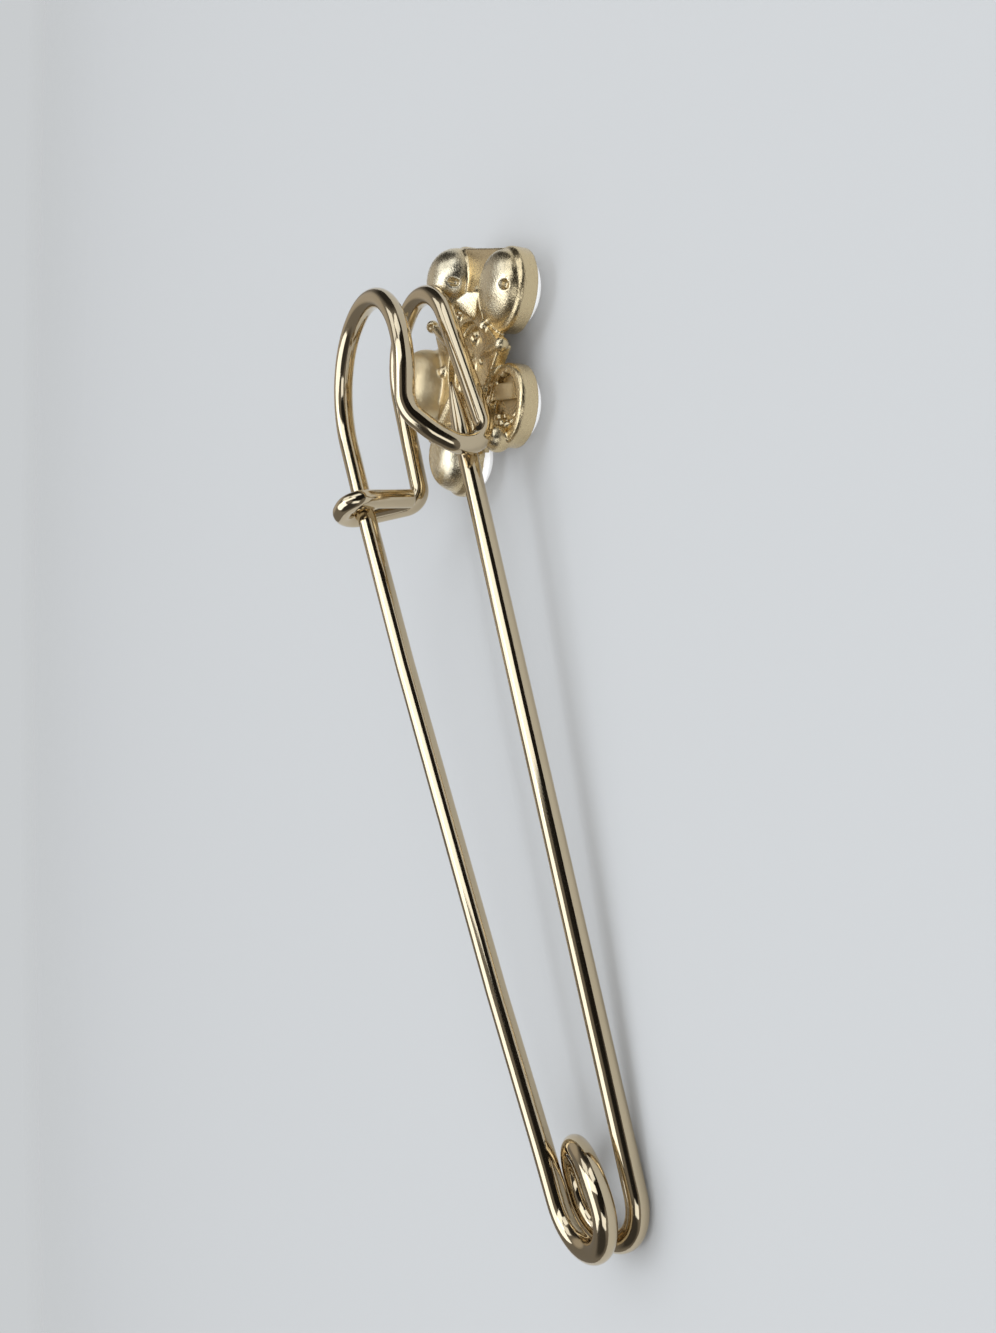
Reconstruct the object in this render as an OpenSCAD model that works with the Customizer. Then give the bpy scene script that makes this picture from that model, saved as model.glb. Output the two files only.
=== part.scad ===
// Safety pin brooch: a sprung wire pin with a double arch catch and a five-petal flower at its head.
// The pin is drawn flat: +X runs along the fixed arm from the catch to the coil, +Y runs from the
// fixed arm towards the stem, and -Z is the side of the flower. The finished brooch is then laid on
// its front, on two pearls and the coil, with its back up.

/* [Wire] */
// Diameter of the wire
wire_d = 1.4; // [1.3:0.05:1.4]
// Length of the fixed arm, from the wrap to the middle of the coil
arm_length = 48.4; // [46:0.2:52]
// How far the fixed arm bows outwards at its middle
arm_bow = 0.8; // [0:0.1:1.2]
// Diameter of the coil, measured between the middles of the wire
coil_d = 5.4; // [5:0.1:6]
// Free space between neighbouring turns of the coil
turn_gap = 0.1; // [0.1:0.05:0.4]

/* [Stem] */
// Height of the stem beside the fixed arm where the catch holds it
catch_height = 10.2; // [10:0.05:10.2]
// Depth of the stem below the fixed arm at the catch
catch_depth = 3.7; // [3.6:0.05:3.75]
// Length of the stem's taper
point_length = 4.2; // [3:0.1:6]
// Radius of the sharp end
point_r = 0.1; // [0.08:0.01:0.2]

/* [Flower] */
// Distance of the petals from the middle of the flower
petal_ring_r = 6.6; // [6.5:0.1:6.8]
// Lean of the flower against the catch, in degrees
flower_lean = 5.7; // [5:0.1:6]
// Radius of a petal's cup
cup_r = 2.8; // [2.7:0.05:2.85]
// Depth of a cup, from its shoulder to its rim
cup_depth = 1.35; // [1.2:0.05:1.5]
// Radius of a pearl at its girdle
pearl_r = 2.5; // [2.3:0.05:2.5]
// Height of a pearl's dome
pearl_dome_h = 1.1; // [0.8:0.1:1.6]
// Gap between a pearl and its cup
pearl_gap = 0.05; // [0.03:0.01:0.1]
// Radius of the balls at the tips between the petals
ball_r = 0.5; // [0.4:0.05:0.6]
// Radius of the beads in the middle of the flower
bead_r = 0.6; // [0.5:0.05:0.7]

/* [Hidden] */
$fn = 48;

wire_r = wire_d / 2;
// Corners of the wire's cross-section, set out so that it has the round wire's area
wire_sides = 12;
corner_r = wire_r * sqrt((2 * PI / wire_sides) / sin(360 / wire_sides));
arc_step = 15;
turn_pitch = wire_d + turn_gap;
coil_r = coil_d / 2;

// Bends of the wire from the coil to its cut end. Where two straight runs would meet is x, y, z, and
// the last column is the bend's radius.
wire_bends = [
    // x,             y,        z,    radius
    [arm_length - 3,  0,        0,    40],
    [arm_length / 2,  -arm_bow, 0,    300],
    [1.0,             0.1,      0,    30],
    // First arch, over the fixed arm
    [-11.4,           1.0,      0,    6.6],
    [-11.3,           17.6,     0,    5.9],
    // Bar that crosses over the stem
    [-0.6,            11.4,     0.55, 2.2],
    [1.3,             11.55,    -0.9, 5],
    [4.2,             11.85,    -4.7, 1.75],
    // Second arch, over the flower
    [-13.1,           11.5,     -4.7, 4.4],
    [-12.3,           2.6,      -4.7, 5.1],
    [-0.1,            0.4,      -4.7, 1.4],
    // Wrap round the fixed arm
    [-0.2,            -2.2,     1.6,  1.4],
    [0.1,             1.6,      1.6,  1.4]
];
wire_start = [arm_length, 0, 0];
wire_end = [0.2, 1.6, -3.2];

// The stem leaves the coil along its tangent
stem_x = 2.4;
stem_lean = atan2(catch_height - coil_d, arm_length - stem_x);
stem_gap = 0.1;
stem_root = [
    arm_length + coil_r * sin(stem_lean),
    coil_r + coil_r * cos(stem_lean),
    -1.5 * turn_pitch
];
stem_span = (stem_root.x - stem_x) / cos(stem_lean);
stem_dir = unit([
    -cos(stem_lean),
    sin(stem_lean),
    (-catch_depth - stem_root.z) / stem_span
]);
stem_length = stem_span + 5.8;

// Middle of the flower at the level of the cups' shoulders
flower_mid = [-5.76, 9.63, -6.5];
first_petal = 172.5;
petal_count = 5;
petal_step = 360 / petal_count;

// Levels of the flower, below or above the shoulders of its cups
shoulder_h = 0.35;
// Rounding of a cup's shoulder: distance in from the wall, and share of the shoulder's height left above
shoulder_steps = [[0, 1], [0.03, 0.62], [0.12, 0.28], [0.25, 0]];
rim_z = -cup_depth;
seat_z = rim_z + 0.6;
girdle_z = rim_z - 0.1;
front_z = girdle_z - pearl_dome_h;
hub_top = 0.3;
hub_bottom = -0.6;

// Backs of the cups: each dome's radius, height, fullness and place on its cup, its pit's radius and
// place, and the depth of wall that is missing. A back with no height is an opening of that radius.
cup_backs = [
    // radius, height, fullness, x,    y,    pit radius, pit x, pit y, missing
    [2.4,      2.15,   2.2,      -0.2, 0.1,  0.28,       1.24,  1.53,  0],
    [2.45,     1.25,   2.05,     0,    0.05, 0.32,       1.08,  1.46,  0],
    [2.1,      0,      2,        0,    0,    0,          0,     0,     0],
    [2.5,      1.8,    2.6,      0,    0,    0,          0,     0,     0.45],
    [2.6,      2.3,    2.6,      0,    0,    0,          0,     0,     0]
];
pit_depth = 0.5;
// Depth of a dome's foot below the top of its cup, and the steps of its profile
foot_depth = 0.4;
dome_steps = 8;
// Floor left in the open cup, and the flat ledge across one side of its opening
open_floor = 0.15;
ledge_turn = 148;
ledge_from = 0.65;
// Rough lumps in and around the open cup: their facets, and x, y, z from the cup's middle, and radius
lump_facets = 20;
cup_lumps = [
    [-2.1,  1.2,   -0.12, 0.25],
    [-1.5,  1.95,  -0.18, 0.29],
    [-0.8,  2.3,   -0.16, 0.24],
    [-0.45, -1.55, -0.4,  0.3],
    [0.15,  -1.95, -0.4,  0.28],
    [0.4,   0.2,   -0.42, 0.28],
    [0.95,  -0.3,  -0.42, 0.25],
    [1.3,   0.7,   -0.42, 0.25]
];
// How far out the hub's points reach in the gaps after petals 1 to 5. The first gap is filled.
point_outs = [5.4, 5.7, 6.9, 6.9, 7.1];
// Web from the first gap down to the hub: its outline, and a point, lean and heading of its sloping top
web_corners = [
    [-1.85, 2.6],
    [-2.0,  3.5],
    [-2.3,  4.3],
    [-2.9,  4.4],
    [-3.8,  3.2],
    [-3.75, 2.3],
    [-3.3,  1.85]
];
web_edge = [-3.55, 1.68, 1.5];
web_lean = 31;
web_turn = 51;
// Lumps of solder that hold the flower to the second arch: x, y, z, radius
solder_lumps = [
    [-9.3, 2.3,  -5.6, 1.05],
    [1.9,  11.6, -5.5, 0.95]
];

// Dome on a circle of radius r: the radius of its sphere
function dome_sphere(r, h) = (r * r + h * h) / (2 * h);
// Height of a cup's back at a distance from its dome's middle, and its profile from foot to top
function back_height(r, h, n, out) = h * pow(1 - pow(out / r, n), 1 / n);
function back_profile(r, h, n) = [
    for (k = [0:dome_steps])
        let (a = 90 * k / dome_steps)
            [r * pow(cos(a), 2 / n), h * pow(sin(a), 2 / n)]
];
function unit(v) = v / norm(v);
function petal_angle(i) = first_petal - petal_step * (i - 1);
function petal_at(i) = petal_ring_r * [cos(petal_angle(i)), sin(petal_angle(i)), 0];
// A point of the flower, in the pin's frame
function on_pin(p) = flower_mid + [
    p.x * cos(flower_lean) - p.z * sin(flower_lean),
    p.y,
    p.x * sin(flower_lean) + p.z * cos(flower_lean)
];

// The floor touches the pearls of two petals and the coil's last turn: centre and radius of each
pearl_sphere = dome_sphere(pearl_r, pearl_dome_h);
touch_turn = 45;
rests = [
    [on_pin(petal_at(3) + [0, 0, front_z + pearl_sphere]), pearl_sphere],
    [on_pin(petal_at(4) + [0, 0, front_z + pearl_sphere]), pearl_sphere],
    [
        [
            arm_length + coil_r * cos(touch_turn),
            coil_r + coil_r * sin(touch_turn),
            -turn_pitch * (1 + (1 + sin(touch_turn)) / 4)
        ],
        corner_r
    ]
];
function rest_point(i, up) = rests[i][0] - rests[i][1] * up;
function upward(v) = v.z < 0 ? -v : v;
function floor_normal(up) = upward(unit(cross(
    rest_point(1, up) - rest_point(0, up),
    rest_point(2, up) - rest_point(0, up)
)));
function settled(up, rounds) = rounds == 0 ? up : settled(floor_normal(up), rounds - 1);
up_dir = settled([0, 0, 1], 8);
along_dir = unit([1, 0, 0] - up_dir.x * up_dir);
side_dir = cross(up_dir, along_dir);
// Middle of the laid brooch, from the wrap
box_mid = [17.85, 8.36];

// Lays what is drawn in the pin's own frame on the floor
module laid() {
    translate([-box_mid.x, -box_mid.y, -rest_point(0, up_dir) * up_dir])
        multmatrix([
            [along_dir.x, along_dir.y, along_dir.z, 0],
            [side_dir.x, side_dir.y, side_dir.z, 0],
            [up_dir.x, up_dir.y, up_dir.z, 0],
            [0, 0, 0, 1]
        ])
            children();
}

// Puts a shape whose +X, +Y, +Z are the directions x, y and their cross product at a point
module oriented(origin, x, y) {
    z = cross(x, y);
    multmatrix([
        [x.x, y.x, z.x, origin.x],
        [x.y, y.y, z.y, origin.y],
        [x.z, y.z, z.z, origin.z],
        [0, 0, 0, 1]
    ])
        children();
}

function bend_turn(p, q, s) = 180 - acos(unit(p - q) * unit(s - q));
function bend_cut(p, q, s, r) = r * tan(bend_turn(p, q, s) / 2);

// A route is a list of points, each with its direction of travel. An arc starts at radius r from its
// centre on the side outward, in the direction travel.
function arc_route(centre, outward, travel, r, angle) =
    let (steps = max(1, ceil(angle / arc_step)))
    [for (k = [0:steps]) let (a = angle * k / steps) [
        centre + r * (cos(a) * outward + sin(a) * travel),
        cos(a) * travel - sin(a) * outward
    ]];

// Rounds the corner q between p and s
function bend_route(p, q, s, r) =
    let (
        back = unit(p - q),
        on = unit(s - q),
        turn = bend_turn(p, q, s),
        centre = q + unit(back + on) * r / cos(turn / 2),
        first = q + back * bend_cut(p, q, s, r)
    )
    arc_route(centre, unit(first - centre), -back, r, turn);

// Route through a table of bends
function bends_route(bends, start, end) =
    let (stops = concat([start], [for (b = bends) [b[0], b[1], b[2]]], [end]))
    concat(
        [
            for (i = [1:len(bends)])
                each bend_route(stops[i - 1], stops[i], stops[i + 1], bends[i - 1][3])
        ],
        [[end, unit(end - stops[len(bends)])]]
    );

// Half a turn of the coil from one side to the other
function coil_half(from, to, travel, angle = 180) =
    arc_route((from + to) / 2, unit(from - to), travel, norm(from - to) / 2, angle);

// Route of the coil, from the stem's end of it to the fixed arm
function coil_route() =
    let (
        near = [arm_length, 0, 0],
        far = [arm_length, coil_d, 0],
        drop = [0, 0, -turn_pitch],
        turns = concat(
            coil_half(near, far, [1, 0, 0]),
            skip_first(coil_half(far, near + drop, [-1, 0, 0])),
            skip_first(coil_half(near + drop, far + 1.5 * drop, [1, 0, 0], 180 - stem_lean))
        )
    )
    [for (i = [len(turns) - 1:-1:0]) [turns[i][0], -turns[i][1]]];
function skip_first(v) = [for (i = [1:len(v) - 1]) v[i]];

// Round wire along a route. Each ring's first corner is carried on from the ring before, so that the
// wire doesn't twist.
module wire(route) {
    rings = len(route);
    dirs = [for (stop = route) stop[1]];
    first = unit(cross(dirs[0], [0, 0, 1]));
    asides = [
        for (i = 0, n = first; i < rings; i = i + 1, n = i < rings ? square_to(n, dirs[i]) : n) n
    ];
    points = [
        for (i = [0:rings - 1], k = [0:wire_sides - 1])
            let (a = 360 * k / wire_sides)
                route[i][0] + corner_r * (cos(a) * asides[i] + sin(a) * cross(dirs[i], asides[i]))
    ];
    sides = [
        for (i = [0:rings - 2], k = [0:wire_sides - 1])
            let (
                a = i * wire_sides + k,
                b = i * wire_sides + (k + 1) % wire_sides,
                c = a + wire_sides,
                d = b + wire_sides
            )
                each [[a, c, b], [b, c, d]]
    ];
    start_cap = [for (k = [0:wire_sides - 1]) k];
    end_cap = [for (k = [wire_sides - 1:-1:0]) (rings - 1) * wire_sides + k];
    polyhedron(points, concat([start_cap], sides, [end_cap]), convexity = 10);
}
function square_to(n, dir) = unit(n - (n * dir) * dir);

// Places what is drawn in the flower's own frame on the catch
module on_catch() {
    translate(flower_mid)
        rotate([0, -flower_lean, 0])
            children();
}

// Pocket of a cup, from its front to the seat of its pearl
module pocket() {
    translate([0, 0, rim_z - 1])
        cylinder(r = pearl_r + pearl_gap, h = seat_z - rim_z + 1);
}

// Solid cup with a rounded shoulder
module cup_body(rim) {
    rotate_extrude()
        polygon(concat(
            [[0, rim], [cup_r, rim]],
            [for (step = shoulder_steps) [cup_r - step[0], -shoulder_h * step[1]]],
            [[0, 0]]
        ));
}

// Dome on the back of a cup, with its pit
module cup_dome(r, h, fullness, at, pit_r, pit) {
    pit_z = back_height(r, h, fullness, norm(pit - at));
    difference() {
        translate([at.x, at.y, 0])
            rotate_extrude()
                polygon(concat([[0, -foot_depth], [r, -foot_depth]], back_profile(r, h, fullness)));
        if (pit_r > 0) {
            translate([pit.x, pit.y, pit_z - pit_depth])
                cylinder(r = pit_r, h = pit_depth + 1);
        }
    }
}

// Ledge in the opening of a cup that is open behind
module ledge(hole_r) {
    ledge_low = 0.4;
    ledge_h = 0.24;
    intersection() {
        translate([0, 0, -ledge_low])
            cylinder(r = hole_r + 0.2, h = ledge_h);
        rotate([0, 0, ledge_turn])
            translate([ledge_from, -cup_r, -ledge_low])
                cube([cup_r, 2 * cup_r, ledge_low]);
    }
}

module cup(back) {
    hole_r = back[0];
    difference() {
        cup_body(rim_z + back[8]);
        pocket();
        if (back[1] == 0) {
            translate([0, 0, seat_z + open_floor])
                cylinder(r = hole_r, h = 1 - seat_z);
        }
    }
    if (back[1] > 0) {
        cup_dome(back[0], back[1], back[2], [back[3], back[4]], back[5], [back[6], back[7]]);
    } else {
        ledge(hole_r);
        for (l = cup_lumps) {
            translate([l[0], l[1], l[2]])
                sphere(r = l[3], $fn = lump_facets);
        }
    }
}

// Hub with a point towards each gap between two petals, sunk in its middle
module hub() {
    valley_out = 3.9;
    well_r = 3.0;
    well_depth = 0.6;
    half_step = petal_step / 2;
    difference() {
        translate([0, 0, hub_bottom])
            linear_extrude(height = hub_top - hub_bottom)
                polygon([
                    for (i = [1:petal_count], s = [0, 1])
                        let (a = petal_angle(i) - half_step * s)
                            (s == 0 ? valley_out : point_outs[i - 1]) * [cos(a), sin(a)]
                ]);
        translate([0, 0, hub_top - well_depth])
            cylinder(r = well_r, h = 1);
    }
}

// Wall that fills the gap between the first two petals
module filler() {
    side = 1.64 * petal_ring_r * sin(petal_step / 2);
    inner = 4.4;
    outer = petal_ring_r * cos(petal_step / 2) + cup_r - 0.2;
    top = 0.15;
    difference() {
        rotate([0, 0, petal_angle(1) - petal_step / 2])
            translate([inner, -side / 2, rim_z])
                cube([outer - inner, side, top - rim_z]);
        for (i = [1, 2]) {
            translate(petal_at(i))
                pocket();
        }
    }
}

// Web that slopes from the filled gap to the hub
module web() {
    low = hub_bottom * 0.8;
    below = 2 * cup_r;
    intersection() {
        translate([0, 0, low])
            linear_extrude(height = web_edge.z - low)
                polygon(web_corners);
        translate(web_edge)
            rotate([0, web_lean, web_turn])
                translate([-below, -below, -below])
                    cube([2 * below, 2 * below, below]);
    }
}

// Balls at the tips of the hub's long points, ribs on those points, grains between the hub and the cups,
// and beads in the middle
module grains() {
    grain_out = 3.8;
    grain_r = 0.42;
    grain_turn = -6;
    bead_out = 2.0;
    bead_z = -0.4;
    tip_z = 0.3;
    rib_from = 2.6;
    rib_r = 0.3;
    rib_z = 0.22;
    for (i = [1:petal_count]) {
        rotate([0, 0, petal_angle(i) + grain_turn])
            translate([grain_out, 0, hub_top])
                sphere(r = grain_r);
        rotate([0, 0, petal_angle(i) - petal_step / 2]) {
            translate([bead_out, 0, bead_z])
                sphere(r = bead_r);
            if (i > 1) {
                translate([point_outs[i - 1] + 0.2, 0, tip_z])
                    sphere(r = ball_r);
                translate([rib_from, 0, rib_z])
                    rotate([0, 90, 0])
                        cylinder(r = rib_r, h = point_outs[i - 1] - rib_from);
            }
        }
    }
    translate([0, 0, bead_z - bead_r / 2])
        sphere(r = bead_r * 1.4);
}

module flower() {
    on_catch() {
        for (i = [1:petal_count]) {
            translate(petal_at(i))
                cup(cup_backs[i - 1]);
        }
        hub();
        filler();
        web();
        grains();
    }
    for (s = solder_lumps) {
        translate([s[0], s[1], s[2]])
            sphere(r = s[3]);
    }
}

// The bent wire and the flower, soldered into one piece
module brooch_frame() {
    color("#cdbb93")
        laid() {
            wire(concat(coil_route(), bends_route(wire_bends, wire_start, wire_end)));
            flower();
        }
}

// The free end of the wire, from the coil to the point under the catch's bar
module pin_stem() {
    aside = unit(cross(stem_dir, [0, 0, 1]));
    shaft = stem_length - point_length;
    color("#d8c9a4")
        laid()
            oriented(stem_root, aside, cross(stem_dir, aside))
                rotate_extrude()
                    polygon([
                        [0, stem_gap],
                        [wire_r, stem_gap],
                        [wire_r, shaft],
                        [wire_r * 0.86, shaft + point_length * 0.35],
                        [wire_r * 0.52, shaft + point_length * 0.75],
                        [point_r, stem_length],
                        [0, stem_length + point_r / 2]
                    ]);
}

// White stone with a flat back, a straight girdle and a domed front
module pearl(i) {
    color("#fbfaf6")
        laid()
            on_catch()
                translate(petal_at(i)) {
                    translate([0, 0, girdle_z])
                        cylinder(r = pearl_r, h = seat_z - pearl_gap - girdle_z);
                    intersection() {
                        translate([0, 0, front_z + pearl_sphere])
                            sphere(r = pearl_sphere);
                        translate([0, 0, front_z - 1])
                            cylinder(r = pearl_r, h = pearl_dome_h + 1);
                    }
                }
}

brooch_frame();
pin_stem();
pearl(1);  // pearl_1
pearl(2);  // pearl_2
pearl(3);  // pearl_3
pearl(4);  // pearl_4
pearl(5);  // pearl_5
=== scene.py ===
# %% [markdown]
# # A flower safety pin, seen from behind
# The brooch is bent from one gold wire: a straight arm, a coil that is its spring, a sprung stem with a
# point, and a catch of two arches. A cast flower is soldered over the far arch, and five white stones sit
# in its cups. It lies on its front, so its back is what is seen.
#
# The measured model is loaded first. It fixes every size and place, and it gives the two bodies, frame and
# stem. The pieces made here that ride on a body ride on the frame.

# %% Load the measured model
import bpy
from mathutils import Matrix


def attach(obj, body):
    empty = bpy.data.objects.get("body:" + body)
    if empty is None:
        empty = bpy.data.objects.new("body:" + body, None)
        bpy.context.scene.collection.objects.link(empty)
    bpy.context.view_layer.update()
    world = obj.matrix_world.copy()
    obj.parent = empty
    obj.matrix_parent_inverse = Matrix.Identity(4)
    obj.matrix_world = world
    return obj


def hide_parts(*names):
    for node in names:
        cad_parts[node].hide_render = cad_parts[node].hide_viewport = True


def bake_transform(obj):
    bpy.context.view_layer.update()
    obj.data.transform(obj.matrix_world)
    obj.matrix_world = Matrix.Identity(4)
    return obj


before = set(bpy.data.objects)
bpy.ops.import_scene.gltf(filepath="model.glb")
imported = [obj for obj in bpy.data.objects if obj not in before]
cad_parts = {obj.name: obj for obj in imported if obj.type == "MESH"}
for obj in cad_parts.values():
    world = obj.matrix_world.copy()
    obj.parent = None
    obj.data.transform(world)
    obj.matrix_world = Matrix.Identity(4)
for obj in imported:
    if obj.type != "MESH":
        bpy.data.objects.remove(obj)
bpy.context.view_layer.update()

# %% [markdown]
# ## How the pin lies
# The pin is easiest to think of flat: the fixed arm along X, the stem beside it along +Y, and the flower
# below the wire, in millimetres. It is bent and cast here in that way, and laid on its front at the end,
# when LAID turns it and brings it to metres. Each piece then sits at the scene's origin, unturned.

# %% Lay the flat pin down
import math

import bpy
import numpy as np
from mathutils import Matrix, Vector

MM = 0.001
# The scene's up, X and Y as the flat pin sees them, and where the flat pin's origin goes
UP = Vector((-0.11097, 0.00154, 0.99382)).normalized()
ALONG = (Vector((1, 0, 0)) - UP.x * UP).normalized()
ACROSS = UP.cross(ALONG)
PIN_AT = Vector((-17.85, -8.36, 8.419))

LAID = Matrix.Scale(MM, 4) @ Matrix.Translation(PIN_AT) @ Matrix((ALONG, ACROSS, UP)).to_4x4()
print("the pin leans", round(math.degrees(UP.angle(Vector((0, 0, 1)))), 2), "degrees as it lies")

# %% [markdown]
# ## Small helpers
# Every piece is made with the usual edit-mode tools. These few functions clear the selection, name what was
# just made, pick faces by a test, apply a modifier and join parts, so the cells below read as steps of the
# making.

# %% Small helpers for modelling
def start_clean():
    """Leaves edit mode and takes everything out of the selection."""
    if bpy.context.object and bpy.context.object.mode != "OBJECT":
        bpy.ops.object.mode_set(mode="OBJECT")
    bpy.ops.object.select_all(action="DESELECT")


def named(name):
    """Names the object that was just made, and puts its place into its mesh."""
    piece = bpy.context.object
    piece.name = piece.data.name = name
    bpy.ops.object.transform_apply(location=True, rotation=True, scale=True)
    return piece


def edit(piece):
    """Opens a piece in edit mode with nothing selected."""
    start_clean()
    piece.select_set(True)
    bpy.context.view_layer.objects.active = piece
    bpy.ops.object.mode_set(mode="EDIT")
    bpy.ops.mesh.select_mode(type="VERT")
    bpy.ops.mesh.select_all(action="DESELECT")


def pick_faces(piece, test):
    """Selects the faces of an edited piece that pass a test."""
    bpy.ops.object.mode_set(mode="OBJECT")
    mesh = piece.data
    for group in (mesh.vertices, mesh.edges, mesh.polygons):
        group.foreach_set("select", [False] * len(group))
    for face in mesh.polygons:
        face.select = test(face)
    bpy.ops.object.mode_set(mode="EDIT")
    bpy.ops.mesh.select_mode(type="FACE")


def finish_with(piece, kind, **settings):
    """Puts a modifier on a piece and applies it."""
    start_clean()
    bpy.context.view_layer.objects.active = piece
    piece.select_set(True)
    modifier = piece.modifiers.new(kind.title(), kind)
    for key, value in settings.items():
        setattr(modifier, key, value)
    bpy.ops.object.modifier_apply(modifier=modifier.name)


def join(name, parts):
    """Makes one piece of several."""
    start_clean()
    for part in parts:
        part.select_set(True)
    bpy.context.view_layer.objects.active = parts[0]
    bpy.ops.object.join()
    parts[0].name = parts[0].data.name = name
    return parts[0]


# %% [markdown]
# ## The wire, bent as a maker bends it
# The real wire is drawn round, then bent over pegs: a straight run, a bend of some radius, the next run.
# A curve with a round bevel would give the same tube, but it hides where the bends are. Here a ring of
# vertices is carried along instead: extrude makes each straight run and spin makes each bend, so the tube
# keeps its roundness and the table below is the maker's bending list.

# %% The bending list
WIRE_R = 0.7
ARM = 48.4
ARM_END = Vector((ARM, 0, 0))

# Where two straight runs would meet: x, y, z, and the bend's radius
WIRE_BENDS = [
    (ARM - 3, 0, 0, 40),
    (ARM / 2, -0.8, 0, 300),
    (1.0, 0.1, 0, 30),
    # first arch
    (-11.4, 1.0, 0, 6.6),
    (-11.3, 17.6, 0, 5.9),
    # bar over the stem
    (-0.6, 11.4, 0.55, 2.2),
    (1.3, 11.55, -0.9, 5),
    (4.2, 11.85, -4.7, 1.75),
    # second arch
    (-13.1, 11.5, -4.7, 4.4),
    (-12.3, 2.6, -4.7, 5.1),
    (-0.1, 0.4, -4.7, 1.4),
    # wrap round the arm
    (-0.2, -2.2, 1.6, 1.4),
    (0.1, 1.6, 1.6, 1.4),
]
WIRE_CUT = Vector((0.2, 1.6, -3.2))


def moves_through(start, bends, end):
    """Turns a bending list into runs and turns. A turn has its centre, its axis and its angle."""
    stops = [start] + [Vector(bend[:3]) for bend in bends] + [end]
    moves, here = [], start
    for before, corner, after, (*_, radius) in zip(stops, stops[1:], stops[2:], bends):
        back, on = (before - corner).normalized(), (after - corner).normalized()
        angle = math.pi - back.angle(on)
        cut = radius * math.tan(angle / 2)
        centre = corner + (back + on).normalized() * radius / math.cos(angle / 2)
        moves.append(("run", corner + back * cut - here))
        moves.append(("turn", centre, back.cross(on).normalized(), angle))
        here = corner + on * cut
    return moves + [("run", end - here)]


arm_moves = moves_through(ARM_END, WIRE_BENDS, WIRE_CUT)
print("the frame's wire has", sum(m[0] == "turn" for m in arm_moves), "bends")

# %% [markdown]
# ## One wire, carried through its bends
# A ring of 32 points looks round even close up, and a step of 5 degrees keeps every bend smooth. The real
# wire keeps faint lines along it from the plate it was drawn through. note_drawing writes how far along and
# how far round the wire each point lies, so the finish can run its lines round the bends, which the
# piece's own coordinates can't follow.

# %% Bend a wire
WIRE_SIDES = 32
TURN_STEP = math.radians(5)
SMOOTH_UP_TO = math.radians(40)


def bend_wire(name, start, direction, moves):
    """Carries a ring of vertices along the moves, and leaves its last ring selected in edit mode."""
    start_clean()
    bpy.ops.mesh.primitive_circle_add(
        vertices=WIRE_SIDES, radius=WIRE_R, fill_type="NOTHING", location=start,
        rotation=direction.to_track_quat("Z", "Y").to_euler(),
    )
    wire = named(name)
    edit(wire)
    bpy.ops.mesh.select_all(action="SELECT")
    for move in moves:
        if move[0] == "run":
            bpy.ops.mesh.extrude_region_move(TRANSFORM_OT_translate={"value": move[1]})
        else:
            _, centre, axis, angle = move
            # spin turns clockwise about its axis
            bpy.ops.mesh.spin(
                steps=max(1, math.ceil(angle / TURN_STEP)), angle=angle, center=centre, axis=axis
            )
    return wire


def note_drawing(wire):
    """Keeps how far along and round the wire each vertex is, for the fine lines that drawing leaves."""
    bpy.ops.object.mode_set(mode="OBJECT")
    co = np.array([v.co for v in wire.data.vertices]).reshape(-1, WIRE_SIDES, 3)
    centres = co.mean(axis=1)
    along = np.concatenate([[0], np.cumsum(np.linalg.norm(np.diff(centres, axis=0), axis=1))])
    round_it = np.arange(WIRE_SIDES) * 2 * math.pi / WIRE_SIDES
    drawn = np.empty((len(centres), WIRE_SIDES, 3))
    drawn[:, :, 0] = along[:, None]
    drawn[:, :, 1] = WIRE_R * np.cos(round_it)
    drawn[:, :, 2] = WIRE_R * np.sin(round_it)
    wire.data.attributes.new("drawn", "FLOAT_VECTOR", "POINT").data.foreach_set(
        "vector", drawn.astype(np.float32).ravel()
    )
    print(wire.name, "is bent from", round(float(along[-1]), 1), "mm of wire")


def close_ends(wire):
    """Closes the wire's ends, turns its faces outward and lays it down."""
    edit(wire)
    bpy.ops.mesh.select_non_manifold()
    bpy.ops.mesh.fill_holes(sides=0)
    bpy.ops.mesh.select_all(action="SELECT")
    bpy.ops.mesh.normals_make_consistent(inside=False)
    bpy.ops.object.mode_set(mode="OBJECT")
    bpy.ops.object.shade_smooth_by_angle(angle=SMOOTH_UP_TO)
    wire.data.transform(LAID)


print("a wire has", WIRE_SIDES, "sides and is", 2 * WIRE_R, "mm thick")

# %% [markdown]
# ## Arm, catch and wrap
# This length of wire never moves against the flower, so it is one piece on the body frame. The cutters
# leave the end of the wrap slightly rounded, which the last ring gets from one short, narrower extrusion.

# %% Arm, catch and wrap
catch_wire = bend_wire("catch_wire", ARM_END, Vector((-1, 0, 0)), arm_moves)
CUT_ROUND, CUT_NARROWED = 0.14, 0.82
cut_out = arm_moves[-1][1].normalized() * CUT_ROUND
bpy.ops.mesh.extrude_region_move(TRANSFORM_OT_translate={"value": cut_out})
bpy.ops.transform.resize(value=(CUT_NARROWED,) * 3, center_override=WIRE_CUT + cut_out)
note_drawing(catch_wire)
close_ends(catch_wire)

# %% [markdown]
# ## Coil
# The coil is one and a half turns that step down by a little more than the wire's thickness, so its turns
# don't touch. Three half turns draw it, as winding on a rod does: the first is level, the second steps down
# a whole pitch and the third half of one, so their axes lean a little. The third also stops short, where the
# stem leaves it in a straight line.

# %% Lay out the coil
COIL_D, PITCH, COIL_TURNS = 5.4, 1.5, 1.5
# Where the stem passes the catch's bar: how far out from the arm, how far below it and where along it
CATCH_HEIGHT, CATCH_DEPTH, STEM_X = 10.2, 3.7, 2.4
coil_r = COIL_D / 2
stem_lean = math.atan2(CATCH_HEIGHT - COIL_D, ARM - STEM_X)


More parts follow.
